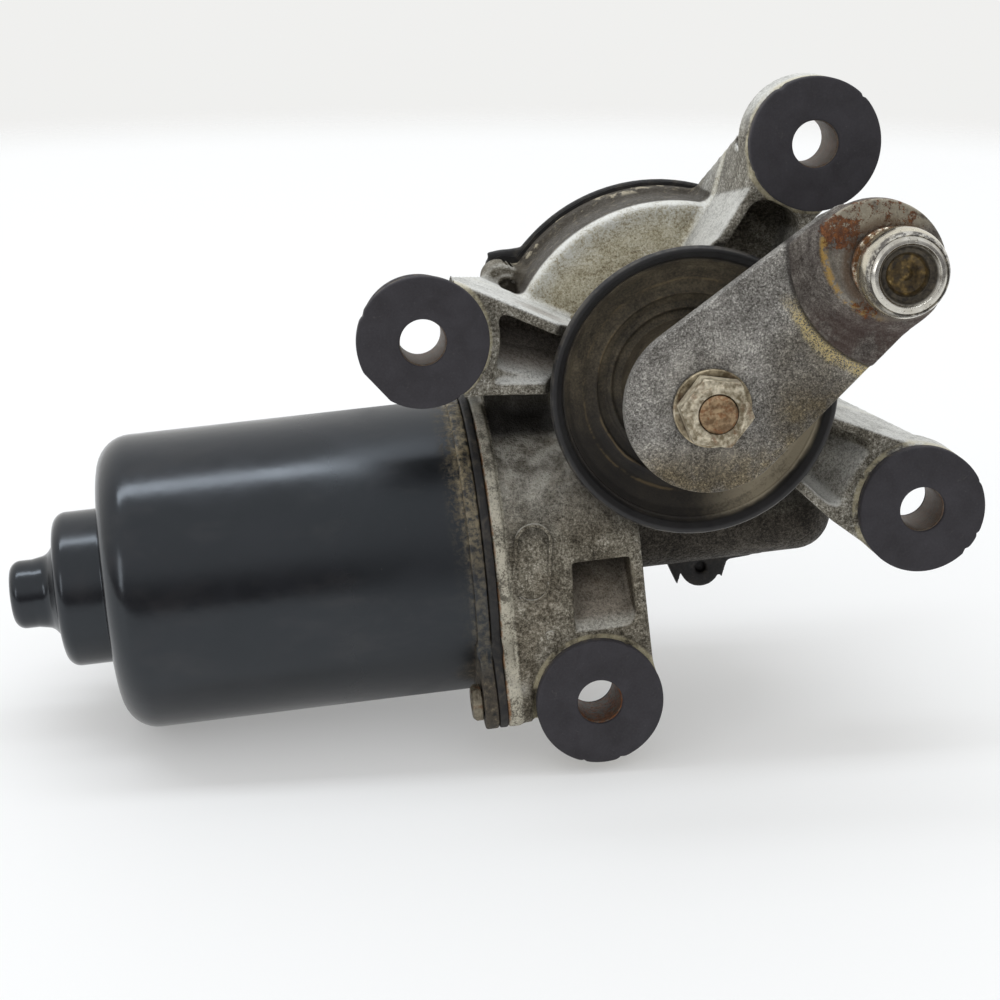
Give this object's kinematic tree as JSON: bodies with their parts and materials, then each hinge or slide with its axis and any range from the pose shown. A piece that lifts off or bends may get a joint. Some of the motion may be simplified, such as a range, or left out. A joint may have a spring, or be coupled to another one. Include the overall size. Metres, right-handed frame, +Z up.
{
  "type": "windscreen wiper motor",
  "caption": "Wiper drive: a black motor can, a worm gearbox with rubber-bushed feet and a cranked arm with a ball stud.",
  "frame": {"origin": "on the output shaft's axis, in the plane of the four bush faces that bear on the bulkhead", "axes": "+X along the motor's axis from the can to the gearbox; +Y along the output shaft from the crank to the gear cover; +Z up, from the motor towards the crank's ball in the picture's pose"},
  "size_m": [0.2064, 0.1042, 0.1387],
  "materials": {
    "can_paint": "semi-gloss black paint",
    "casting": "weathered die casting",
    "rubber": "matt",
    "seal_rubber": "matt with dust",
    "cover_plastic": "matt",
    "crank_zinc": "weathered zinc plate",
    "chrome": "polished",
    "nut_steel": "tarnished",
    "shaft_steel": "ground",
    "sleeve_steel": "rusted",
    "screw_steel": "zinc plated",
    "bronze": "sintered",
    "nylon": "satin",
    "brass": "bright",
    "copper": "bright",
    "lamination": "stamped",
    "ferrite": "ground",
    "carbon": "matt",
    "brown_board": "matt",
    "spring_steel": "bright",
    "gasket": "matt"
  },
  "bodies": {
    "case": {"motor_yoke": "can_paint", "yoke_gasket": "gasket", "yoke_screw_lower": "screw_steel", "yoke_screw_upper": "screw_steel", "field_magnet_rear": "ferrite", "field_magnet_front": "ferrite", "yoke_bearing": "bronze", "bearing_clip": "spring_steel", "thrust_ball": "chrome", "thrust_plug": "nylon", "worm_bearing": "bronze", "thrust_button": "nylon", "brush_plate": "brown_board", "brush_front": "carbon", "brush_rear": "carbon", "brush_spring_front": "spring_steel", "brush_spring_rear": "spring_steel", "gear_housing": "casting", "gear_cover": "cover_plastic", "cover_gasket": "gasket", "cover_screw_1": "screw_steel", "cover_screw_2": "screw_steel", "cover_screw_3": "screw_steel", "cover_screw_4": "screw_steel", "connector_socket": "cover_plastic", "park_contact_1": "brass", "park_contact_2": "brass", "park_contact_3": "brass", "shaft_bush_front": "bronze", "shaft_bush_rear": "bronze", "shaft_o_ring": "seal_rubber", "shaft_washer": "spring_steel", "shaft_seal": "seal_rubber", "bush_left": "rubber", "bush_top": "rubber", "bush_right": "rubber", "bush_bottom": "rubber", "sleeve_left": "sleeve_steel", "sleeve_top": "sleeve_steel", "sleeve_right": "sleeve_steel", "sleeve_bottom": "sleeve_steel"},
    "crank": {"output_shaft": "shaft_steel", "worm_wheel": "nylon", "park_disc": "brass", "crank_arm": "crank_zinc", "crank_washer": "nut_steel", "crank_nut": "nut_steel", "ball_stud": "chrome", "shaft_clip": "spring_steel"},
    "armature": {"armature_shaft": "shaft_steel", "armature_core": "lamination", "armature_windings": "copper", "commutator": "copper"}
  },
  "joints": [
    {"name": "output_spin", "type": "hinge", "parent": "case", "child": "crank", "pos_m": [0, 0, 0], "axis": [0, 1, 0], "continuous": true},
    {"name": "armature_spin", "type": "hinge", "parent": "case", "child": "armature", "pos_m": [0, 0.03435, -0.03564], "axis": [1, 0, 0], "continuous": true}
  ],
  "couplings": [
    {"joint": "armature_spin", "follows": "output_spin", "ratio": 60}
  ]
}
